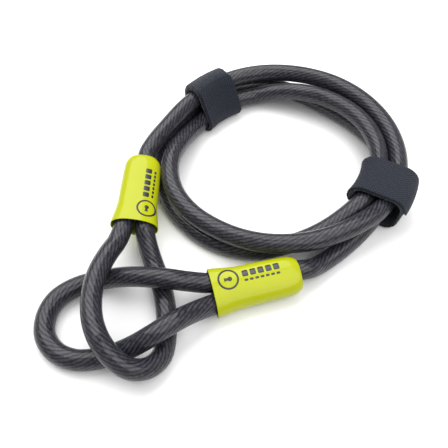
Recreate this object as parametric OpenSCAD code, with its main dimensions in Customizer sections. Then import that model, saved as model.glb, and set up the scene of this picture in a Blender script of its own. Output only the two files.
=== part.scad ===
// Looped security cable: one steel wire rope in a translucent jacket, an eye at each end,
// coiled and held by two hook-and-loop straps. Millimetres, +Z up, floor at z = 0.
// The origin is under the middle of the whole object.

/* [Cable] */
// Outside diameter of the jacket
jacket_od = 12; // [11.6:0.1:12]
// Diameter of the bare wire rope
rope_od = 8; // [6:0.5:8]
// Diameter of the rope's core strand
core_od = 4.8; // [3:0.2:5]
// Sides of the swept tubes
tube_sides = 12; // [8:1:12]
// Step of the coil's sections, in degrees of travel
coil_step = 12; // [9:1:18]

/* [Ferrules] */
// Length of the swaged sleeve
ferrule_len = 25; // [20:1:26]
// Wall of the sleeve around each barrel
ferrule_wall = 1.8; // [1:0.1:1.9]
// Depth of each press mark on the sleeve
press_depth = 0.4; // [0.1:0.1:0.6]

/* [Ferrule covers] */
// Length of a cover, dome to mouth
cover_len = 53; // [52:1:60]
// Width of a cover at its mouth
mouth_w = 29; // [28.5:0.5:34]
// Thickness of a cover at its mouth
mouth_t = 17.6; // [17:0.2:20]

/* [Straps] */
// Width of the straps along the cable
strap_w = 30; // [15:1:30]
// Thickness of the soft loop band
band_t = 1.4; // [1:0.1:1.6]
// Thickness of the woven hook tape
tape_t = 1.1; // [0.8:0.1:1.2]
// Room between the cables and the band
band_slack = 0.6; // [0.5:0.1:1]

/* [Hidden] */

layer_gap = 0.1;                     // fit between the cable's layers, and in the barrels
jacket_r = jacket_od / 2;
jacket_bore_r = rope_od / 2 + layer_gap;
rope_r = rope_od / 2;
core_r = core_od / 2;

// ---- Coil: travel angle (0 at the left, clockwise from above), radius, height ----
coil_centre = [30, 37];
coil_knots = [
    [16, 79, 21], [34, 75.5, 21.5], [80, 75.5, 21.5], [104, 75, 22], [130, 76.5, 21.5],
    [158, 78, 20], [174, 78.3, 19.6], [216, 78.3, 19.6], [238, 75.5, 20], [262, 75.5, 19.6],
    [285, 76.5, 19], [305, 77.4, 18.8], [325, 78.5, 18.8], [340, 77, 19.2], [355, 73, 18.8],
    [372, 67.5, 14.5], [386, 66.2, 9.6], [394, 66, 8.7], [433, 66, 8.7], [441, 65.4, 9.6],
    [455, 61.8, 15.5], [468, 59.5, 19.2],
    [490, 61.5, 19.8],
    [512, 64, 20], [534, 65.6, 19.6], [576, 65.6, 19.6], [596, 64.4, 14], [612, 65.5, 10],
    [630, 69, 7], [645, 74.5, 6.1], [663, 79, 6.1], [690, 81, 6.1], [712, 81, 7],
    [732, 80, 8.3], [750, 79.2, 8.7], [775, 79.1, 8.7], [797, 78.6, 8.6],
    [825, 70, 7.8], [845, 66.5, 7.4],
    [876, 69, 7.8], [892, 72, 8.7], [932, 72, 8.7]];
coil_first = 16;
coil_last = 932;

// ---- Free stretches: hand-laid points ----
lead_in = [[-55, 42, 21]];
tail = [[87, -12, 8.3], [80, -20, 7.2], [73, -27, 6.3], [61, -37.5, 6.3], [48.5, -47, 7.5]];
eye_a_points = [
    [-72, -36, 18.5], [-76, -47, 21], [-79.5, -59, 23], [-81, -71, 24], [-80.5, -82, 24.5],
    [-78, -93, 24.5], [-73, -103, 23], [-66, -110.5, 19.5], [-57, -114.5, 14.5],
    [-48, -111.5, 9.5], [-42, -103.5, 6.5], [-40.5, -92, 6.1], [-41, -80, 6.1],
    [-43, -68, 6.1], [-46.5, -56, 6.5], [-51, -45, 8.5], [-54.5, -35.5, 12.5]];
eye_b_points = [
    [-29, -62, 15], [-40, -62, 18], [-51, -61.5, 19], [-63, -59.5, 16], [-75, -57.5, 10.5],
    [-86, -57.5, 6.5], [-97, -61.5, 6.1], [-106, -69, 6.1], [-110, -80, 6.1],
    [-108.5, -92, 6.1], [-101, -101.5, 6.1], [-90, -106, 6.1], [-78, -105.5, 6.1],
    [-67, -103, 8], [-57, -100.5, 12.6], [-47, -97, 18.1], [-37, -90.5, 19], [-27, -82.5, 14.8]];

// ---- Ends: dome tip, heading, pitch, roll, side of the standing barrel ----
end_a = [[-61, 26.5, 19.5], 268, -1, -12, 1];
end_b = [[36.5, -54.5, 11], 194.5, 0, -15, -1];

barrel_y = 4.5;                      // barrel axes, either side of the middle
exit_y = 2.2;                        // where the standing cable leaves the dome
leg_y = 6.1;                         // jackets of the eye's two legs, inside the mouth
mouth_y = 6.4;                       // the same two legs at the mouth
ferrule_u = 14;                      // start of the sleeve, from the dome tip
neck_u = 10.5;                       // end of the coil's jacket inside the dome
leg_u = 46;                          // start of the eye's jackets inside the mouth
dead_u = 12.5;                       // cut end of the rope

// ---- Straps: angle; circles the strap is drawn round (radius, height, extra layers),
//      anticlockwise; radius of a fold line on the top (0 = the tab folds at its lowest
//      height instead), radius of the tab's end, lowest height of the tab, and radius of
//      the fixed tape's end under the coil ----
strap_1 = [131, [[79.5, 8.7, 0], [75.5, 21.5, 2.8], [65.6, 8.7, 0]], 0, 71, 8.7, 71.6];
strap_2 = [-27.7, [[81.5, 8.7, 0], [82, 19.6, 1], [64.8, 19.6, 1], [71.8, 8.7, 0]],
           64.8, 200, 10, 77.8];
hinge_gap = 0.3;                     // between the fixed tape and the peeling tab

// ---------- Curves ----------
function knot_at(phi) = max([for (i = [0:len(coil_knots) - 2]) if (coil_knots[i][0] <= phi) i]);
function knot_slope(i, c) =
    let (a = max(i - 1, 0), b = min(i + 1, len(coil_knots) - 1))
    (coil_knots[b][c] - coil_knots[a][c]) / (coil_knots[b][0] - coil_knots[a][0]);
function knot_curve(phi, c) =
    let (i = knot_at(phi), p = coil_knots[i], q = coil_knots[i + 1],
         h = q[0] - p[0], t = (phi - p[0]) / h)
    (2 * t^3 - 3 * t^2 + 1) * p[c] + (t^3 - 2 * t^2 + t) * h * knot_slope(i, c)
    + (3 * t^2 - 2 * t^3) * q[c] + (t^3 - t^2) * h * knot_slope(i + 1, c);
function coil_point(phi) =
    let (r = knot_curve(phi, 1))
    [coil_centre[0] - r * cos(phi), coil_centre[1] + r * sin(phi), knot_curve(phi, 2)];
coil_count = round((coil_last - coil_first) / coil_step);
coil_path = [for (i = [0:coil_count])
    coil_point(coil_first + (coil_last - coil_first) * i / coil_count)];

// A point in an end's own frame: u from the dome tip to the mouth, y across the two barrels
function end_axis(e) = [cos(e[1]) * cos(e[2]), sin(e[1]) * cos(e[2]), sin(e[2])];
function end_side(e) =
    [-sin(e[2]) * sin(e[3]) * cos(e[1]) - cos(e[3]) * sin(e[1]),
     -sin(e[2]) * sin(e[3]) * sin(e[1]) + cos(e[3]) * cos(e[1]),
     cos(e[2]) * sin(e[3])];
function end_point(e, u, y) = e[0] + u * end_axis(e) + y * end_side(e);
function neck_y(u) = exit_y + (barrel_y - exit_y) * u / ferrule_u;

// ---------- Cable routes ----------
function eye_route(e, points, start) = concat(
    [end_point(e, leg_u, -start * leg_y), end_point(e, cover_len, -start * mouth_y)],
    points,
    [end_point(e, cover_len, start * mouth_y), end_point(e, leg_u, start * leg_y)]);
function standing_end(e) =
    [end_point(e, neck_u, e[4] * neck_y(neck_u)), end_point(e, -5, e[4] * neck_y(-5))];
function barrel(e, side) =
    [end_point(e, ferrule_u + ferrule_len, side * barrel_y), end_point(e, ferrule_u, side * barrel_y)];
function dead_barrel(e, side) =
    [end_point(e, ferrule_u + ferrule_len, side * barrel_y), end_point(e, dead_u, side * barrel_y)];
function back(list) = [for (i = [len(list) - 1:-1:0]) list[i]];

eye_a_route = eye_route(end_a, eye_a_points, end_a[4]);
eye_b_route = eye_route(end_b, eye_b_points, -end_b[4]);
coil_route = concat(standing_end(end_a), lead_in, coil_path, tail, back(standing_end(end_b)));
rope_route = concat(
    back(dead_barrel(end_a, -end_a[4])), eye_a_route, barrel(end_a, end_a[4]),
    coil_route,
    back(barrel(end_b, end_b[4])), eye_b_route, dead_barrel(end_b, -end_b[4]));

// ---------- Swept tube along a route ----------
function unit(v) = v / norm(v);
function tangent(route, i) =
    unit(route[min(i + 1, len(route) - 1)] - route[max(i - 1, 0)]);
function ring(route, i, r) =
    let (t = tangent(route, i), s = unit(cross([0, 0, 1], t)), n = cross(t, s))
    [for (k = [0:tube_sides - 1])
        let (q = 360 * k / tube_sides) route[i] + r * (cos(q) * s + sin(q) * n)];
function skin_points(route, r) = [for (i = [0:len(route) - 1]) each ring(route, i, r)];
function skin_faces(count, base, flip) = [
    for (i = [0:count - 2]) for (k = [0:tube_sides - 1])
        let (k2 = (k + 1) % tube_sides,
             a = base + i * tube_sides + k, b = base + i * tube_sides + k2,
             c = a + tube_sides, d = b + tube_sides)
        each flip ? [[a, c, b], [b, c, d]] : [[a, b, c], [b, d, c]]];
function annulus_faces(outer, inner, flip) = [
    for (k = [0:tube_sides - 1])
        let (k2 = (k + 1) % tube_sides)
        each flip ? [[outer + k, inner + k2, inner + k], [outer + k, outer + k2, inner + k2]]
                  : [[outer + k, inner + k, inner + k2], [outer + k, inner + k2, outer + k2]]];

module tube(route, r_out, r_in) {
    count = len(route);
    inner = count * tube_sides;
    last = (count - 1) * tube_sides;
    polyhedron(
        points = concat(skin_points(route, r_out), skin_points(route, r_in)),
        faces = concat(skin_faces(count, 0, true), skin_faces(count, inner, false),
                       annulus_faces(0, inner, true), annulus_faces(last, inner + last, false)));
}

module rod(route, r) {
    count = len(route);
    last = (count - 1) * tube_sides;
    polyhedron(
        points = skin_points(route, r),
        faces = concat(skin_faces(count, 0, true),
                       [[for (k = [0:tube_sides - 1]) k]],
                       [[for (k = [tube_sides - 1:-1:0]) last + k]]));
}

// ---------- Ends ----------
module at_end(e)
    translate(e[0]) rotate([0, 0, e[1]]) rotate([0, -e[2], 0]) rotate([e[3], 0, 0]) children();

// A round bar along the end's axis, from u0 to u1
module bar(u0, u1, y, r) translate([u0, y, 0]) rotate([0, 90, 0]) cylinder(h = u1 - u0, r = r, $fn = 48);

// Two bars side by side with the space between them filled
module twin_bar(u0, u1, y, r) {
    bar(u0, u1, y, r);
    bar(u0, u1, -y, r);
    translate([u0, -y, -r]) cube([u1 - u0, 2 * y, 2 * r]);
}

sleeve_r = rope_r + ferrule_wall;

module ferrule() {
    press_count = 3;
    press_len = 4;
    pitch = ferrule_len / press_count;
    difference() {
        twin_bar(ferrule_u, ferrule_u + ferrule_len, barrel_y, sleeve_r);
        for (side = [-1, 1])
            bar(ferrule_u - 1, ferrule_u + ferrule_len + 1, side * barrel_y, rope_r + layer_gap);
        for (face = [-1, 1], i = [0:press_count - 1])
            translate([ferrule_u + pitch * (i + 0.5) - press_len / 2, -2 * barrel_y,
                       face > 0 ? sleeve_r - press_depth : -sleeve_r - 1])
                cube([press_len, 4 * barrel_y, press_depth + 1]);
    }
}

module cover_slice(u, w, t)
    translate([u, 0, 0]) rotate([0, 90, 0]) linear_extrude(0.01) scale([t / w, 1]) circle(d = w, $fn = 40);

module cover_body() {
    // distance from the dome tip, width and thickness
    dome = [[0.4, 15, 13.4], [1.4, 18, 14.2], [3.5, 21, 15], [8, 24, 15.6], [38, 25, 16.2]];
    flare = [[38, 25, 16.2], [44, 27, 16.8], [cover_len - 0.01, mouth_w, mouth_t]];
    hull() for (c = dome) cover_slice(c[0], c[1], c[2]);
    for (i = [0, 1]) hull() for (c = [flare[i], flare[i + 1]]) cover_slice(c[0], c[1], c[2]);
}

module cover(e) {
    seat_r = sleeve_r + layer_gap;
    leg_bore_r = jacket_r + 0.4;
    neck_slope = atan((barrel_y - exit_y) / ferrule_u);
    difference() {
        cover_body();
        twin_bar(ferrule_u - 2, leg_u - 1.5, barrel_y, seat_r);
        twin_bar(leg_u - 1.6, cover_len + 1, leg_y, leg_bore_r);
        translate([0, e[4] * exit_y, 0]) rotate([0, 0, e[4] * neck_slope])
            bar(-4, ferrule_u - 1, 0, jacket_r + 0.3);
    }
}

// ---------- Straps ----------
function arc(c, r, a0, a1) =
    let (turn = a1 < a0 ? a1 + 360 - a0 : a1 - a0, steps = 10)
    [for (i = [0:steps]) [c[0] + r * cos(a0 + turn * i / steps), c[1] + r * sin(a0 + turn * i / steps)]];
// Direction of the outward normal where a belt runs straight from circle p to circle q
function edge_angle(p, q) =
    atan2(p[0] - q[0], q[1] - p[1]) - asin((q[2] - p[2]) / norm([q[0] - p[0], q[1] - p[1]]));
// Outline at distance r from a strap's circles; layers = 1 adds each circle's extra layers
function belt(s, r, layers) =
    let (list = [for (c = s[1]) [c[0], c[1], layers * c[2]]], count = len(list))
    [for (i = [0:count - 1])
        let (c = list[i], before = list[(i + count - 1) % count], after = list[(i + 1) % count])
        each arc(c, r + c[2], edge_angle(before, c), edge_angle(c, after))];

cavity_r = jacket_r + band_slack;
band_r = cavity_r + band_t;
tape_in_r = band_r + layer_gap;
tape_r = tape_in_r + tape_t;

module belt_area(s, r) intersection() {
    polygon(belt(s, r, 1));
    square([200, 60]);
}

// Turns a section, drawn in radius and height, into a bent strip of the strap's width
module bent_strip(s) {
    reach = 18;
    translate([coil_centre[0], coil_centre[1], 0]) rotate([0, 0, s[0]]) intersection() {
        rotate([0, 0, -reach]) rotate_extrude(angle = 2 * reach, $fn = 180) children();
        translate([0, -strap_w / 2, -1]) cube([200, strap_w, 60]);
    }
}

// Everything farther out than the straight line where the tab bends up
module beyond_hinge(s, from) translate([coil_centre[0], coil_centre[1], 0]) rotate([0, 0, s[0]])
    translate([s[2] + from, -50, -1]) cube([200, 100, 60]);

module strap_band(s) bent_strip(s) difference() {
    belt_area(s, band_r);
    polygon(belt(s, cavity_r, 0));
}

module strap_tape(s) difference() {
    belt_area(s, tape_r);
    polygon(belt(s, tape_in_r, 1));
}

module strap_wrap(s) difference() {
    bent_strip(s) difference() {
        strap_tape(s);
        translate([s[5], -1]) square([60, 80]);
    }
    intersection() {
        beyond_hinge(s, -hinge_gap);
        translate([-200, -200, s[4] - hinge_gap]) cube([500, 500, 60]);
    }
}

module strap_tab(s) intersection() {
    bent_strip(s) intersection() {
        strap_tape(s);
        translate([0, s[4]]) square([s[3], 60]);
    }
    beyond_hinge(s, 0);
}

// ---------- Nodes ----------
module rope_core() color("dimgray") rod(rope_route, core_r);
module rope_strands() color("gray") tube(rope_route, rope_r, core_r + layer_gap);
module coil_jacket() color("#3a3d42") tube(coil_route, jacket_r, jacket_bore_r);
module eye_a_jacket() color("#3a3d42") tube(eye_a_route, jacket_r, jacket_bore_r);
module eye_b_jacket() color("#3a3d42") tube(eye_b_route, jacket_r, jacket_bore_r);
module ferrule_a() color("silver") at_end(end_a) ferrule();
module ferrule_b() color("silver") at_end(end_b) ferrule();
module cover_a() color("#d4dc2a") at_end(end_a) cover(end_a);
module cover_b() color("#d4dc2a") at_end(end_b) cover(end_b);
module strap_1_band() color("#20262e") strap_band(strap_1);
module strap_1_wrap() color("#3b434d") strap_wrap(strap_1);
module strap_1_tab() color("#3b434d") strap_tab(strap_1);
module strap_2_band() color("#20262e") strap_band(strap_2);
module strap_2_wrap() color("#3b434d") strap_wrap(strap_2);
module strap_2_tab() color("#3b434d") strap_tab(strap_2);

rope_core();
rope_strands();
coil_jacket();
eye_a_jacket();
eye_b_jacket();
ferrule_a();
ferrule_b();
cover_a();
cover_b();
strap_1_band();
strap_1_wrap();
strap_1_tab();
strap_2_band();
strap_2_wrap();
strap_2_tab();
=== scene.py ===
"""Looped security cable, coiled and held by two hook-and-loop straps: the visual model.

Metres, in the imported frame. Route points are kept in millimetres, as in the CAD source,
and turned into metres by mm().
"""
import bmesh
import bpy
import math
from collections import namedtuple
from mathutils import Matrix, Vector, noise


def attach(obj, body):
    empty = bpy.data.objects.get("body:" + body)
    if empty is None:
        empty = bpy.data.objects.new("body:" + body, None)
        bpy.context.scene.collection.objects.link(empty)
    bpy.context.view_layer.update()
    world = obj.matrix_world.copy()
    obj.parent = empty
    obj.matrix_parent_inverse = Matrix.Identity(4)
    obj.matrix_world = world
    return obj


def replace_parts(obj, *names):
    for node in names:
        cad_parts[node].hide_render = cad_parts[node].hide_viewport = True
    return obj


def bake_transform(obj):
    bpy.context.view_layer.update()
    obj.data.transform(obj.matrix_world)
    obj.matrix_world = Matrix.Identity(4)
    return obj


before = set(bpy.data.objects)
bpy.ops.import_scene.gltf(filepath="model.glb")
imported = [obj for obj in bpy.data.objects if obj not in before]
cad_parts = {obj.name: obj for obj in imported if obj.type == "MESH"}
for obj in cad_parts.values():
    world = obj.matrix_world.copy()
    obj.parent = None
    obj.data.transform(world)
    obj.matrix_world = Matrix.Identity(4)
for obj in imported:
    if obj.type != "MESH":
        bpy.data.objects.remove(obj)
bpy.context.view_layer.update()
scene = bpy.context.scene
scene.view_settings.view_transform = "Standard"
MM = 0.001


def mm(p):
    return Vector(p) * MM


# ---------------------------------------------------------------- camera
camera_data = bpy.data.cameras.new("camera")
camera_data.lens = 45.0
camera_data.sensor_width = 36.0
camera = bpy.data.objects.new("camera", camera_data)
camera.location = (-0.008, -0.221, 0.300)
camera.rotation_euler = (math.radians(35.0), 0.0, 0.0)
scene.collection.objects.link(camera)
scene.camera = camera

# ---------------------------------------------------------------- cable route, as in the CAD
JACKET_R = 6.0
ROPE_R = 4.0
COIL_CENTRE = (30.0, 37.0)
COIL_KNOTS = [  # travel angle, radius, height
    (16, 79, 21), (34, 75.5, 21.5), (80, 75.5, 21.5), (104, 75, 22), (130, 76.5, 21.5),
    (158, 78, 20), (174, 78.3, 19.6), (216, 78.3, 19.6), (238, 75.5, 20), (262, 75.5, 19.6),
    (285, 76.5, 19), (305, 77.4, 18.8), (325, 78.5, 18.8), (340, 77, 19.2), (355, 73, 18.8),
    (372, 67.5, 14.5), (386, 66.2, 9.6), (394, 66, 8.7), (433, 66, 8.7), (441, 65.4, 9.6),
    (455, 61.8, 15.5), (468, 59.5, 19.2), (490, 61.5, 19.8), (512, 64, 20), (534, 65.6, 19.6),
    (576, 65.6, 19.6), (596, 64.4, 14), (612, 65.5, 10), (630, 69, 7), (645, 74.5, 6.1),
    (663, 79, 6.1), (690, 81, 6.1), (712, 81, 7), (732, 80, 8.3), (750, 79.2, 8.7),
    (775, 79.1, 8.7), (797, 78.6, 8.6), (825, 70, 7.8), (845, 66.5, 7.4), (876, 69, 7.8),
    (892, 72, 8.7), (932, 72, 8.7)]
COIL_FIRST, COIL_LAST, COIL_STEP = 16, 932, 12
LEAD_IN = [(-55, 42, 21)]
TAIL = [(87, -12, 8.3), (80, -20, 7.2), (73, -27, 6.3), (61, -37.5, 6.3), (48.5, -47, 7.5)]
EYE_A_POINTS = [
    (-72, -36, 18.5), (-76, -47, 21), (-79.5, -59, 23), (-81, -71, 24), (-80.5, -82, 24.5),
    (-78, -93, 24.5), (-73, -103, 23), (-66, -110.5, 19.5), (-57, -114.5, 14.5),
    (-48, -111.5, 9.5), (-42, -103.5, 6.5), (-40.5, -92, 6.1), (-41, -80, 6.1),
    (-43, -68, 6.1), (-46.5, -56, 6.5), (-51, -45, 8.5), (-54.5, -35.5, 12.5)]
EYE_B_POINTS = [
    (-29, -62, 15), (-40, -62, 18), (-51, -61.5, 19), (-63, -59.5, 16), (-75, -57.5, 10.5),
    (-86, -57.5, 6.5), (-97, -61.5, 6.1), (-106, -69, 6.1), (-110, -80, 6.1),
    (-108.5, -92, 6.1), (-101, -101.5, 6.1), (-90, -106, 6.1), (-78, -105.5, 6.1),
    (-67, -103, 8), (-57, -100.5, 12.6), (-47, -97, 18.1), (-37, -90.5, 19), (-27, -82.5, 14.8)]
# inside a cover, u from the dome's tip and y across: the barrels, the neck, the eye's legs, the mouth
BARREL_Y, EXIT_Y, LEG_Y, MOUTH_Y = 4.5, 2.2, 6.1, 6.4
COVER_LEN, FERRULE_U, FERRULE_LEN = 53.0, 14.0, 25.0
OUT_U, NECK_U, LEG_U, DEAD_U = -5.0, 10.5, 46.0, 12.5


class End:
    """One swaged end: its dome's tip, heading, pitch and roll, and the standing cable's side."""

    def __init__(self, tip, heading, pitch, roll, side):
        h, p, r = (math.radians(v) for v in (heading, pitch, roll))
        self.tip = Vector(tip)
        self.side = side
        self.u = Vector((math.cos(h) * math.cos(p), math.sin(h) * math.cos(p), math.sin(p)))
        self.y = Vector((
            -math.sin(p) * math.sin(r) * math.cos(h) - math.cos(r) * math.sin(h),
            -math.sin(p) * math.sin(r) * math.sin(h) + math.cos(r) * math.cos(h),
            math.cos(p) * math.sin(r)))
        self.z = self.u.cross(self.y)

    def point(self, u, y, z=0.0):
        return self.tip + self.u * u + self.y * y + self.z * z

    def neck(self):
        spread = (BARREL_Y - EXIT_Y) / FERRULE_U
        return [self.point(u, self.side * (EXIT_Y + spread * u)) for u in (NECK_U, OUT_U)]

    def barrel(self, side, last=FERRULE_U):
        return [self.point(FERRULE_U + FERRULE_LEN, side * BARREL_Y),
                self.point(last, side * BARREL_Y)]

    def eye(self, points, start):
        return ([self.point(LEG_U, -start * LEG_Y), self.point(COVER_LEN, -start * MOUTH_Y)]
                + [Vector(p) for p in points]
                + [self.point(COVER_LEN, start * MOUTH_Y), self.point(LEG_U, start * LEG_Y)])


END_A = End((-61, 26.5, 19.5), 268, -1, -12, 1)
END_B = End((36.5, -54.5, 11), 194.5, 0, -15, -1)


def knot_curve(phi, c):
    """Column c of the knots (1 radius, 2 height) at travel angle phi, on a cubic Hermite curve."""
    last = len(COIL_KNOTS) - 1
    i = max(k for k in range(last) if COIL_KNOTS[k][0] <= phi)

    def slope(k):
        a, b = COIL_KNOTS[max(k - 1, 0)], COIL_KNOTS[min(k + 1, last)]
        return (b[c] - a[c]) / (b[0] - a[0])

    p, q = COIL_KNOTS[i], COIL_KNOTS[i + 1]
    h = q[0] - p[0]
    t = (phi - p[0]) / h
    return ((2 * t**3 - 3 * t**2 + 1) * p[c] + (t**3 - 2 * t**2 + t) * h * slope(i)
            + (3 * t**2 - 2 * t**3) * q[c] + (t**3 - t**2) * h * slope(i + 1))


def coil_point(phi):
    r, a = knot_curve(phi, 1), math.radians(phi)
    return Vector((COIL_CENTRE[0] - r * math.cos(a), COIL_CENTRE[1] + r * math.sin(a),
                   knot_curve(phi, 2)))


coil_count = round((COIL_LAST - COIL_FIRST) / COIL_STEP)
coil_path = [coil_point(COIL_FIRST + (COIL_LAST - COIL_FIRST) * i / coil_count)
             for i in range(coil_count + 1)]
eye_a_route = END_A.eye(EYE_A_POINTS, END_A.side)
eye_b_route = END_B.eye(EYE_B_POINTS, -END_B.side)
coil_route = (END_A.neck() + [Vector(p) for p in LEAD_IN] + coil_path
              + [Vector(p) for p in TAIL] + END_B.neck()[::-1])
rope_route = (
    END_A.barrel(-END_A.side, DEAD_U)[::-1] + eye_a_route + END_A.barrel(END_A.side)
    + coil_route
    + END_B.barrel(END_B.side)[::-1] + eye_b_route + END_B.barrel(-END_B.side, DEAD_U))


def smooth(points, step):
    """A centripetal Catmull-Rom curve through points, sampled about every step."""

    def between(values, t, x, gap):
        """Each neighbouring pair of values, mixed at x between knots gap apart."""
        return [a * ((t[j + gap] - x) / (t[j + gap] - t[j])) + b * ((x - t[j]) / (t[j + gap] - t[j]))
                for j, (a, b) in enumerate(zip(values, values[1:]))]

    pts = [points[0] * 2 - points[1]] + list(points) + [points[-1] * 2 - points[-2]]
    out = []
    for i in range(1, len(pts) - 2):
        p = pts[i - 1:i + 3]
        t = [0.0]
        for a, b in zip(p, p[1:]):
            t.append(t[-1] + max((b - a).length, 1e-6) ** 0.5)
        n = max(1, math.ceil((p[2] - p[1]).length / step))
        for k in range(n):
            x = t[1] + (t[2] - t[1]) * k / n
            a = between(p, t, x, 1)
            b = between(a, t, x, 2)
            out.append(b[0] * ((t[2] - x) / (t[2] - t[1])) + b[1] * ((x - t[1]) / (t[2] - t[1])))
    out.append(pts[-2].copy())
    return out


def arc_lengths(points):
    s = [0.0]
    for a, b in zip(points, points[1:]):
        s.append(s[-1] + (b - a).length)
    return s


def frames(points):
    """(side, up) at each point, carried along without twist."""
    out = []
    up = Vector((0, 0, 1))
    for i in range(len(points)):
        t = (points[min(i + 1, len(points) - 1)] - points[max(i - 1, 0)]).normalized()
        up = (up - t * up.dot(t)).normalized()
        out.append((t.cross(up), up))
    return out


# ---------------------------------------------------------------- mesh helpers
def add_mesh(name, verts, faces, material, uvs=None):
    mesh = bpy.data.meshes.new(name)
    mesh.from_pydata([tuple(v) for v in verts], [], faces)
    if uvs:
        layer = mesh.uv_layers.new(name="UVMap")
        for loop in mesh.loops:
            layer.data[loop.index].uv = uvs[loop.vertex_index]
    mesh.materials.append(material)
    mesh.polygons.foreach_set("use_smooth", [True] * len(mesh.polygons))
    mesh.update()
    obj = bpy.data.objects.new(name, mesh)
    scene.collection.objects.link(obj)
    return obj


def grid_faces(rows, cols):
    """Quads between rings of cols points each, every ring closed on itself."""
    faces = []
    for i in range(rows - 1):
        for k in range(cols):
            k2 = (k + 1) % cols
            faces.append((i * cols + k, i * cols + k2, (i + 1) * cols + k2, (i + 1) * cols + k))
    return faces


def fix_normals(obj):
    bm = bmesh.new()
    bm.from_mesh(obj.data)
    bmesh.ops.recalc_face_normals(bm, faces=bm.faces)
    bm.to_mesh(obj.data)
    bm.free()


def tube(name, route, radius, sides, step, material, lobes=0, lobe_depth=0.0, lay=0.0):
    """A closed swept tube, its path and its length in metres; with lobes, a laid rope whose strands
    turn once every lay."""
    points = smooth(route, step)
    dist = arc_lengths(points)
    verts, uvs = [], []
    for p, (side, up), s in zip(points, frames(points), dist):
        turn = 2 * math.pi * s / lay if lay else 0.0
        for k in range(sides):
            a = 2 * math.pi * k / sides
            r = radius
            if lobes:
                x = (k * lobes / sides) % 1.0 * 2 - 1
                r -= lobe_depth * (1 - math.sqrt(max(0.0, 1 - x * x)))
            b = a + turn
            verts.append(mm(p + side * (r * math.cos(b)) + up * (r * math.sin(b))))
            uvs.append((k / sides, s * MM))
    faces = grid_faces(len(points), sides)
    faces.append(tuple(range(sides))[::-1])
    faces.append(tuple((len(points) - 1) * sides + k for k in range(sides)))
    return add_mesh(name, verts, faces, material, uvs), [mm(p) for p in points], dist[-1] * MM


# ---------------------------------------------------------------- materials
def material(name, base, roughness):
    m = bpy.data.materials.new(name)
    m.use_nodes = True
    nt = m.node_tree
    bsdf = nt.nodes["Principled BSDF"]
    bsdf.inputs["Base Color"].default_value = (*base, 1)
    bsdf.inputs["Roughness"].default_value = roughness
    return m, nt, bsdf


def object_noise(nt, scale, detail, roughness=0.5):
    coords = nt.nodes.new("ShaderNodeTexCoord")
    n = nt.nodes.new("ShaderNodeTexNoise")
    n.inputs["Scale"].default_value = scale
    n.inputs["Detail"].default_value = detail
    n.inputs["Roughness"].default_value = roughness
    nt.links.new(coords.outputs["Object"], n.inputs["Vector"])
    return n


def ramp(nt, source, stops):
    r = nt.nodes.new("ShaderNodeValToRGB")
    while len(r.color_ramp.elements) < len(stops):
        r.color_ramp.elements.new(0.5)
    for e, (pos, col) in zip(r.color_ramp.elements, stops):
        e.position = pos
        e.color = (*col, 1)
    nt.links.new(source, r.inputs["Fac"])
    return r


def bump(nt, bsdf, height, strength, distance):
    b = nt.nodes.new("ShaderNodeBump")
    b.inputs["Strength"].default_value = strength
    b.inputs["Distance"].default_value = distance
    nt.links.new(height, b.inputs["Height"])
    nt.links.new(b.outputs["Normal"], bsdf.inputs["Normal"])


def math_node(nt, op, a, b=None, c=None):
    n = nt.nodes.new("ShaderNodeMath")
    n.operation = op
    for k, v in enumerate((a, b, c)):
        if v is None:
            continue
        if isinstance(v, (int, float)):
            n.inputs[k].default_value = v
        else:
            nt.links.new(v, n.inputs[k])
    return n.outputs[0]


def uv_axes(nt):
    uv = nt.nodes.new("ShaderNodeUVMap")
    uv.uv_map = "UVMap"
    sep = nt.nodes.new("ShaderNodeSeparateXYZ")
    nt.links.new(uv.outputs["UV"], sep.inputs[0])
    return sep.outputs["X"], sep.outputs["Y"]


def mottle(nt, bsdf, scale, detail, stops):
    """Base colour from object noise through a ramp."""
    r = ramp(nt, object_noise(nt, scale, detail).outputs["Fac"], stops)
    nt.links.new(r.outputs["Color"], bsdf.inputs["Base Color"])


# Smoked jacket over laid wire: the strands, seen magnified through the clear wall, are the
# base layer; the smooth outside is the coat.
STRANDS, LAY, WIRES_PER_STRAND = 16, 78.0, 4
jacket_mat, nt, bsdf = material("smoked_jacket", (0.05, 0.05, 0.055), 0.42)
u, v = uv_axes(nt)
warp = object_noise(nt, 260.0, 2.0)
wobble = math_node(nt, "MULTIPLY_ADD", warp.outputs["Fac"], 0.5, -0.25)
phase = math_node(nt, "MULTIPLY_ADD", u, float(STRANDS),
                  math_node(nt, "MULTIPLY", v, -STRANDS / (LAY * MM)))
phase = math_node(nt, "ADD", phase, wobble)
x = math_node(nt, "MULTIPLY_ADD", math_node(nt, "FRACT", phase), 2.0, -1.0)
crown = math_node(nt, "SQRT", math_node(nt, "SUBTRACT", 1.0, math_node(nt, "MULTIPLY", x, x)))
wires = math_node(nt, "SINE", math_node(nt, "MULTIPLY", phase, 2 * math.pi * WIRES_PER_STRAND))
height = math_node(nt, "MULTIPLY_ADD", wires, 0.05, crown)
blotch = object_noise(nt, 420.0, 2.0)
# base colour follows the strands' crown: painted shade in the valleys between strands, times random
# tone from the blotch noise
painted_shade_and_tone = math_node(nt, "MULTIPLY", crown,
                 math_node(nt, "MULTIPLY_ADD", blotch.outputs["Fac"], 1.1, 0.35))
base = ramp(nt, painted_shade_and_tone, [(0.15, (0.0025, 0.003, 0.007)), (0.6, (0.008, 0.0085, 0.014)),
                       (0.95, (0.040, 0.038, 0.046))])
nt.links.new(base.outputs["Color"], bsdf.inputs["Base Color"])
bsdf.inputs["Specular IOR Level"].default_value = 0.15
bump(nt, bsdf, height, 0.6, 0.0005)
bsdf.inputs["Coat Weight"].default_value = 0.55
bsdf.inputs["Coat Roughness"].default_value = 0.03
bsdf.inputs["Coat IOR"].default_value = 1.4

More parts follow.
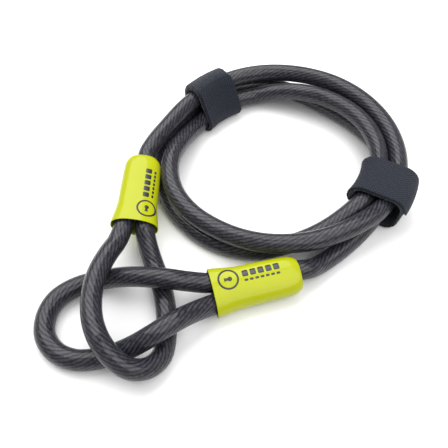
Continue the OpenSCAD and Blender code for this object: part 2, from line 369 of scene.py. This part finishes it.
# drawn steel wire rope
rope_mat, nt, bsdf = material("wire_rope", (0.30, 0.29, 0.30), 0.38)
bsdf.inputs["Metallic"].default_value = 0.9
mottle(nt, bsdf, 900.0, 2.0, [(0.3, (0.20, 0.195, 0.20)), (0.7, (0.42, 0.40, 0.41))])

# moulded lime vinyl
lime_mat, nt, bsdf = material("lime_cover", (0.355, 0.385, 0.004), 0.3)
mottle(nt, bsdf, 60.0, 3.0, [(0.3, (0.35, 0.385, 0.002)), (0.7, (0.38, 0.405, 0.004))])
bump(nt, bsdf, object_noise(nt, 1500.0, 2.0).outputs["Fac"], 0.12, 0.0002)
bsdf.inputs["Specular IOR Level"].default_value = 0.12
bsdf.inputs["Coat Weight"].default_value = 0.3
bsdf.inputs["Coat Roughness"].default_value = 0.04

# dark ink printed on the covers
ink_mat, nt, bsdf = material("print_ink", (0.012, 0.014, 0.016), 0.35)
mottle(nt, bsdf, 2500.0, 2.0, [(0.3, (0.010, 0.012, 0.014)), (0.7, (0.022, 0.024, 0.026))])

# woven nylon tape: ribs across, warp along, both also in the mesh
RIB, WARP, THREAD = 1.9, 1.7, 0.32
tape_mat, nt, bsdf = material("woven_tape", (0.045, 0.055, 0.07), 0.75)
u, v = uv_axes(nt)
ru = math_node(nt, "SINE", math_node(nt, "MULTIPLY", u, 2 * math.pi / (WARP * MM)))
rv = math_node(nt, "SINE", math_node(nt, "MULTIPLY", v, 2 * math.pi / (RIB * MM)))
weave = math_node(nt, "MULTIPLY_ADD", math_node(nt, "MULTIPLY", ru, rv), 0.5, 0.5)
fine = math_node(nt, "SINE", math_node(nt, "MULTIPLY", u, 2 * math.pi / (THREAD * MM)))
n = object_noise(nt, 700.0, 3.0)
# base colour follows the weave's height: painted shade in the weave's hollows, mixed with random tone
# from the noise
painted_shade_and_tone = math_node(nt, "MULTIPLY_ADD", n.outputs["Fac"], 0.35,
                 math_node(nt, "MULTIPLY", weave, 0.65))
r = ramp(nt, painted_shade_and_tone, [(0.3, (0.004, 0.006, 0.011)), (0.7, (0.031, 0.037, 0.054))])
nt.links.new(r.outputs["Color"], bsdf.inputs["Base Color"])
bump(nt, bsdf, math_node(nt, "MULTIPLY_ADD", fine, 0.2, weave), 0.8, 0.0005)
bsdf.inputs["Sheen Weight"].default_value = 0.05
bsdf.inputs["Sheen Roughness"].default_value = 0.4
bsdf.inputs["Specular IOR Level"].default_value = 0.2

# brushed loop pile
pile_mat, nt, bsdf = material("loop_pile", (0.018, 0.022, 0.030), 0.95)
n = object_noise(nt, 1300.0, 4.0, 0.7)
r = ramp(nt, n.outputs["Fac"], [(0.35, (0.004, 0.006, 0.010)), (0.7, (0.026, 0.033, 0.046))])
nt.links.new(r.outputs["Color"], bsdf.inputs["Base Color"])
bump(nt, bsdf, n.outputs["Fac"], 1.0, 0.0008)
bsdf.inputs["Sheen Weight"].default_value = 0.2
bsdf.inputs["Sheen Roughness"].default_value = 0.5
bsdf.inputs["Specular IOR Level"].default_value = 0.2

# pressed aluminium of the sleeves
metal_mat, nt, bsdf = material("swaged_aluminium", (0.70, 0.70, 0.71), 0.4)
bsdf.inputs["Metallic"].default_value = 1.0
mottle(nt, bsdf, 500.0, 3.0, [(0.3, (0.6, 0.6, 0.61)), (0.7, (0.78, 0.78, 0.79))])

# ---------------------------------------------------------------- cable
JACKET_SIDES, JACKET_STEP = 36, 2.5
ROPE_SIDES, ROPE_STEP, LOBE_DEPTH = STRANDS * 4, 4.0, 0.4
rope = tube("wire_rope", rope_route, ROPE_R, ROPE_SIDES, ROPE_STEP, rope_mat,
            lobes=STRANDS, lobe_depth=LOBE_DEPTH, lay=LAY)[0]
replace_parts(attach(rope, "cable"), "rope_core", "rope_strands")

jackets = (("coil_jacket_tube", coil_route, "coil_jacket", "coiled"),
           ("eye_a_tube", eye_a_route, "eye_a_jacket", "loose"),
           ("eye_b_tube", eye_b_route, "eye_b_jacket", "loose"))
for name, route, cad_node, lay in jackets:
    piece, points, length = tube(name, route, JACKET_R, JACKET_SIDES, JACKET_STEP, jacket_mat)
    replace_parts(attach(piece, "cable"), cad_node)

# ---------------------------------------------------------------- covers
COVER_SECTIONS = [  # distance from the dome's tip, width, thickness
    (0.3, 17.8, 13.2), (1.0, 19.2, 13.9), (2.2, 20.9, 14.5), (4.0, 22.5, 15.2), (6.0, 23.4, 15.5),
    (8, 23.9, 15.6), (16, 24.2, 15.8), (26, 24.5, 16.0), (34, 24.7, 16.1), (38, 25.0, 16.3),
    (42, 26.0, 16.6), (46, 27.3, 17.0), (49.5, 28.5, 17.3), (52, 29.2, 17.6), (52.8, 29.3, 17.7),
    (53, 29.0, 17.4)]
COVER_INSIDE = [(52.9, 28.0, 16.4), (51, 27.3, 15.8), (48.5, 26.6, 15.0), (45.2, 25.6, 14.4)]
COVER_FLOOR = 45.0
FLOOR_SHARES = (0.6, 0.25)  # rings that close the inside's floor
COVER_POWER = 2.35  # of the section, between an ellipse (2) and a rectangle
COVER_SIDES = 72
HOLE_R = JACKET_R + 0.15  # the hole in the dome, round the standing cable
HOLE_RIM = 0.25
HOLE_DEPTHS = (6.0, 3.0, 0.6)


def cover_size(u):
    """Width and thickness of the cover at u."""
    rows = COVER_SECTIONS
    for a, b in zip(rows, rows[1:]):
        if u <= b[0]:
            t = max(0.0, (u - a[0]) / (b[0] - a[0]))
            return a[1] + (b[1] - a[1]) * t, a[2] + (b[2] - a[2]) * t
    return rows[-1][1:]


def oval(w, t, a):
    c, s = math.cos(a), math.sin(a)
    return (w / 2 * math.copysign(abs(c) ** (2 / COVER_POWER), c),
            t / 2 * math.copysign(abs(s) ** (2 / COVER_POWER), s))


def cover(name, end, cad_node):
    """The cover as one skin: up the dome's hole, over the outside, in at the mouth to the floor."""
    sides = COVER_SIDES
    angles = [2 * math.pi * k / sides for k in range(sides)]
    exit_y = end.side * EXIT_Y
    rings = []
    for u, r in [(u, HOLE_R) for u in HOLE_DEPTHS] + [(HOLE_RIM, HOLE_R + HOLE_RIM)]:
        rings.append([(u, exit_y + r * math.cos(a), r * math.sin(a)) for a in angles])
    for u, w, t in COVER_SECTIONS + COVER_INSIDE:
        rings.append([(u, *oval(w, t, a)) for a in angles])
    w, t = COVER_INSIDE[-1][1:]
    for share in FLOOR_SHARES:
        rings.append([(COVER_FLOOR, *(q * share for q in oval(w, t, a))) for a in angles])
    verts = [mm(end.point(*p)) for ring in rings for p in ring]
    faces = grid_faces(len(rings), sides)
    first, last = len(verts), len(verts) + 1
    verts += [mm(end.point(HOLE_DEPTHS[0], exit_y)), mm(end.point(COVER_FLOOR, 0))]
    base = (len(rings) - 1) * sides
    for k in range(sides):
        k2 = (k + 1) % sides
        faces.append((k2, k, first))
        faces.append((base + k, base + k2, last))
    obj = add_mesh(name, verts, faces, lime_mat)
    fix_normals(obj)
    sub = obj.modifiers.new("sub", "SUBSURF")
    sub.levels = sub.render_levels = 1
    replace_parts(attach(obj, "cable"), cad_node)


def on_cover(end, u, y, lift):
    """A point on the cover's upper face, u along and y across, lifted off it."""
    w, t = cover_size(u)
    q = min(abs(y) / (w / 2), 0.98)
    rest = 1 - q ** COVER_POWER
    z = t / 2 * rest ** (1 / COVER_POWER)
    slope = (t / w) * (q ** (COVER_POWER - 1)) * rest ** (1 / COVER_POWER - 1)
    nrm = Vector((math.copysign(slope, y), 1.0)).normalized()
    return mm(end.point(u, y + nrm.x * lift, z + nrm.y * lift))


INK_TOP, INK_FOOT = 0.07, -0.12  # a patch of ink stands this far above and below the cover's face
RING_U, RING_IN, RING_OUT = 43.0, 5.1, 6.2
KEYHOLE_R = 1.35
NEARLY_ROUND = 0.9999  # a ring's two ends stay apart
CORNER_R = 0.55
# rows of marks: count, pitch, the first mark's two ends along the cover, its two sides across it
MARK_ROWS = ((5, 4.7, 34.4, 30.9, -3.4, 0.4), (7, 3.2, 34.0, 31.7, 2.0, 3.3))


def print_grid(end, rows, cols, place):
    """A thin raised patch of ink: place(i, j) gives u, y for i, j from 0 to 1."""
    verts, faces = [], []
    n = (rows + 1) * (cols + 1)
    for lift in (INK_TOP, INK_FOOT):
        for i in range(rows + 1):
            for j in range(cols + 1):
                u, y = place(i / rows, j / cols)
                verts.append(on_cover(end, u, y, lift))
    w = cols + 1
    for i in range(rows):
        for j in range(cols):
            q = (i * w + j, i * w + j + 1, (i + 1) * w + j + 1, (i + 1) * w + j)
            faces += [q, tuple(k + n for k in q[::-1])]
    rim = ([(0, j) for j in range(cols)] + [(i, cols) for i in range(rows)]
           + [(rows, j) for j in range(cols, 0, -1)] + [(i, 0) for i in range(rows, 0, -1)])
    for k, (i, j) in enumerate(rim):
        i2, j2 = rim[(k + 1) % len(rim)]
        a, b = i * w + j, i2 * w + j2
        faces.append((b, a, a + n, b + n))
    return verts, faces


def cover_print(name, end, centre_y):
    """A keyhole in a ring, a row of bars and a row of dashes under it, printed along the cover."""
    verts, faces = [], []

    def put(rows, cols, place):
        v, f = print_grid(end, rows, cols, place)
        base = len(verts)
        verts.extend(v)
        faces.extend(tuple(k + base for k in q) for q in f)

    def ring(i, j):
        a, r = 2 * math.pi * i * NEARLY_ROUND, RING_IN + (RING_OUT - RING_IN) * j
        return RING_U + r * math.cos(a), centre_y + r * math.sin(a)

    def keyhole_eye(i, j):
        a = 2 * math.pi * i * NEARLY_ROUND
        return (RING_U - 0.9 + KEYHOLE_R * j * math.cos(a),
                centre_y + KEYHOLE_R * max(j, 0.02) * math.sin(a))

    def keyhole_slot(i, j):
        return RING_U - 0.2 + 2.6 * i, centre_y + (j - 0.5) * (1.1 + 1.0 * i)

    def bar(u0, u1, y0, y1):
        length, width = abs(u1 - u0), abs(y1 - y0)
        r = min(CORNER_R, length / 2, width / 2)

        def place(i, j):
            inset = 0.0
            d = min(i, 1 - i) * length
            if d < r:
                inset = r - math.sqrt(max(0.0, r * r - (r - d) ** 2))
            return u0 + (u1 - u0) * i, y0 + inset + (y1 - y0 - 2 * inset) * j
        put(10, 4, place)

    put(48, 2, ring)
    put(24, 2, keyhole_eye)
    put(4, 3, keyhole_slot)
    for count, pitch, u0, u1, y0, y1 in MARK_ROWS:
        for k in range(count):
            bar(u0 - pitch * k, u1 - pitch * k, centre_y + y0, centre_y + y1)
    obj = add_mesh(name, verts, faces, ink_mat)
    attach(obj, "cable")


cover("cover_a_shell", END_A, "cover_a")
cover("cover_b_shell", END_B, "cover_b")
cover_print("cover_a_print", END_A, 5.6)
cover_print("cover_b_print", END_B, -4.2)

# ---------------------------------------------------------------- straps
STRAP_W, BAND_T, TAPE_T = 30.0, 1.4, 1.1
CAVITY_R = JACKET_R + 0.6
BAND_R = CAVITY_R + BAND_T
TAPE_IN_R = BAND_R + 0.1
BELT_STEP, BAND_STEP, TAPE_STEP = 0.35, 0.7, RIB / 5
BAND_COLS, TAPE_COLS = 34, 60
# both faces close in over EDGE_ROUND at a strap's edges, to the square root of EDGE_LEAST
EDGE_ROUND, EDGE_LEAST = 0.6, 0.04
FLOOR_GAP = 0.02
RIB_H, WARP_H, WEAVE_H = 0.15, 0.07, 0.16
TAB_LIFT, LIFT_LEN = 0.55, 5.0  # the free end stands off the pile
TAPE_CORNER_R, TAPE_INSET = 2.2, 0.35
# angle: its place round the coil. circles: what it is drawn round, anticlockwise, as radius, height
# and extra layers. fold_r: the fold's radius on the top, or 0 for a fold on the inner side at height
# tab_z. tab_r: the radius of the tab's end on the top, or OFF_TOP for an end on the outer side at
# height tab_z. tape_r: the radius of the fixed tape's end, underneath.
OFF_TOP = 200
Strap = namedtuple("Strap", "angle circles fold_r tab_r tab_z tape_r")
STRAPS = {
    "strap_1": Strap(131, ((79.5, 8.7, 0), (75.5, 21.5, 2.8), (65.6, 8.7, 0)), 0, 71, 8.7, 71.6),
    "strap_2": Strap(-27.7, ((81.5, 8.7, 0), (82, 19.6, 1), (64.8, 19.6, 1), (71.8, 8.7, 0)),
                     64.8, OFF_TOP, 10, 77.8)}


def belt(s, r):
    """The strap's line at distance r, plus the extra layers, round its circles."""
    circles = s.circles

    def edge(p, q):
        return (math.atan2(p[0] - q[0], q[1] - p[1])
                - math.asin((q[2] - p[2]) / math.hypot(q[0] - p[0], q[1] - p[1])))

    line = []
    for i, c in enumerate(circles):
        a0 = edge(circles[i - 1], c)
        turn = (edge(c, circles[(i + 1) % len(circles)]) - a0) % (2 * math.pi)
        rad = r + c[2]
        n = max(2, math.ceil(turn * rad / BELT_STEP))
        for k in range(n + 1):
            a = a0 + turn * k / n
            line.append(Vector((c[0] + rad * math.cos(a), c[1] + rad * math.sin(a))))
    return line


def resample(line, step, closed):
    """The line in even steps, close to step."""
    pts = line + [line[0]] if closed else line
    out = []
    total = sum((b - a).length for a, b in zip(pts, pts[1:]))
    n = round(total / step)
    want = [total * k / n for k in range(n if closed else n + 1)]
    s, i = 0.0, 0
    for w in want:
        while i < len(pts) - 2 and s + (pts[i + 1] - pts[i]).length < w:
            s += (pts[i + 1] - pts[i]).length
            i += 1
        seg = (pts[i + 1] - pts[i]).length or 1e-9
        out.append(pts[i].lerp(pts[i + 1], min(1.0, (w - s) / seg)))
    return out


def strap_point(s, r, z, v):
    """Section point (r, z) at v across the strap, bent round the coil's centre."""
    a = math.radians(s.angle)
    x = math.sqrt(max(r * r - v * v, 0.0))
    return mm((COIL_CENTRE[0] + x * math.cos(a) - v * math.sin(a),
               COIL_CENTRE[1] + x * math.sin(a) + v * math.cos(a), max(z, FLOOR_GAP)))


def strip(name, s, line, closed, mat, offset, half_width, cols):
    """A band of cloth along line: offset(side, x, v) is a face's distance from the line, and
    half_width(x, total) is half its width at x, both in mm."""
    n = len(line)
    verts, uvs, faces = [], [], []
    total = sum((b - a).length for a, b in zip(line, line[1:]))
    step = total / (n - 1)
    for i, p in enumerate(line):
        q0 = line[(i - 1) % n] if closed else line[max(i - 1, 0)]
        q1 = line[(i + 1) % n] if closed else line[min(i + 1, n - 1)]
        t = (q1 - q0).normalized()
        nrm = Vector((t.y, -t.x))
        x = i * step
        hw = half_width(x, total)
        for side in (1, -1):
            for k in range(cols):
                f = k / (cols - 1) * 2 - 1
                v = hw * f * side
                edge = max(0.0, abs(f) * hw - (hw - EDGE_ROUND)) / EDGE_ROUND
                d = offset(side, x, v)
                mid = (offset(1, x, v) + offset(-1, x, v)) / 2
                d = mid + (d - mid) * math.sqrt(max(EDGE_LEAST, 1 - edge * edge))
                w = p + nrm * d
                verts.append(strap_point(s, w.x, w.y, v))
                uvs.append((v * MM, x * MM))
    ring = 2 * cols
    faces = grid_faces(n, ring)
    if closed:
        for k in range(ring):
            k2 = (k + 1) % ring
            faces.append(((n - 1) * ring + k, (n - 1) * ring + k2, k2, k))
    else:
        faces.append(tuple(range(ring))[::-1])
        faces.append(tuple((n - 1) * ring + k for k in range(ring)))
    obj = add_mesh(name, verts, faces, mat, uvs)
    fix_normals(obj)
    return obj


def build_band(name, s):
    """The closed pile band, thicker towards the top by the extra layers."""
    band_line = resample(belt(s, BAND_R), BAND_STEP, True)
    heights = [c[1] for c in s.circles]
    low_z, top_z = min(heights), max(heights)
    extra = max(c[2] for c in s.circles)

    def band_offset(side, x, v):
        q = Vector((x * 0.9, v * 0.9, 7.0 if side > 0 else 3.0))
        fuzz = 0.25 * noise.noise(q) + 0.16 * noise.noise(q * 2.7)
        if side > 0:
            return fuzz
        p = band_line[int(round(x / BAND_STEP)) % len(band_line)]
        share = min(1.0, max(0.0, (p.y - low_z) / (top_z - low_z)))
        return -BAND_T - extra * share + 0.5 * fuzz

    def band_half(x, _total):
        return STRAP_W / 2 + 0.5 * noise.noise(Vector((x * 0.5, 1.0, 2.0)))

    band = strip(name + "_pile", s, band_line, True, pile_mat, band_offset, band_half, BAND_COLS)
    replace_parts(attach(band, name), name + "_band")


def build_tape(name, s):
    """The woven tape over the band, from the tab's free end to the fixed end underneath."""
    line = belt(s, TAPE_IN_R)
    second, third = s.circles[1:3]
    on_top = s.tab_r < second[0]
    start_z = second[1] if on_top else s.tab_z
    start = next(i for i, p in enumerate(line) if p.x < s.tab_r and p.y > start_z)
    loop = line[start:] + line[:start]
    low_z = min(c[1] for c in s.circles)
    stop = next(i for i, p in enumerate(loop) if p.y < low_z and p.x > s.tape_r)
    tape_line = resample(loop[:stop], TAPE_STEP, False)

    def tape_offset(side, x, v):
        lift = TAB_LIFT * max(0.0, 1 - x / LIFT_LEN) ** 2
        if side < 0:
            return lift
        rib = 0.5 + 0.5 * math.sin(2 * math.pi * x / RIB)
        warp = 0.5 + 0.5 * math.sin(2 * math.pi * v / WARP + (math.pi if int(x / RIB) % 2 else 0))
        return TAPE_T - WEAVE_H + lift + RIB_H * rib + WARP_H * warp

    def tape_half(x, total):
        r = TAPE_CORNER_R
        d = min(x, total - x)
        cut = r - math.sqrt(max(0.0, r * r - (r - d) ** 2)) if d < r else 0.0
        return STRAP_W / 2 - TAPE_INSET - cut

    tape = strip(name + "_tape", s, tape_line, False, tape_mat, tape_offset, tape_half, TAPE_COLS)
    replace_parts(tape, name + "_wrap", name + "_tab")
    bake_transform(tape)


for name, s in STRAPS.items():
    build_band(name, s)
    build_tape(name, s)

# ---------------------------------------------------------------- floor and light
bpy.ops.mesh.primitive_plane_add(size=6.0, location=(0, 0, -0.0002))
floor = bpy.context.object
floor.name = "floor"
floor_mat, nt, bsdf = material("floor_paper", (0.9, 0.9, 0.9), 0.8)
bsdf.inputs["Specular IOR Level"].default_value = 0.2
floor.data.materials.append(floor_mat)

world = bpy.data.worlds.new("studio")
scene.world = world
world.use_nodes = True
background = world.node_tree.nodes["Background"]
background.inputs["Color"].default_value = (1, 1, 1, 1)
background.inputs["Strength"].default_value = 0.42


def area_light(name, place, target, size, power):
    data = bpy.data.lights.new(name, "AREA")
    data.shape = "RECTANGLE"
    data.size, data.size_y = size
    data.energy = power
    obj = bpy.data.objects.new(name, data)
    obj.location = place
    obj.rotation_euler = (Vector(target) - Vector(place)).to_track_quat("-Z", "Y").to_euler()
    scene.collection.objects.link(obj)


area_light("key", (-0.25, 0.40, 0.80), (0, 0, 0), (1.2, 0.9), 13.5)
area_light("fill", (0.4, -0.3, 0.8), (0, 0, 0), (0.9, 0.9), 7.0)

# ---------------------------------------------------------------- carried-over CAD nodes
for ferrule in ("ferrule_a", "ferrule_b"):
    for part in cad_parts[ferrule].material_slots:
        part.material = metal_mat
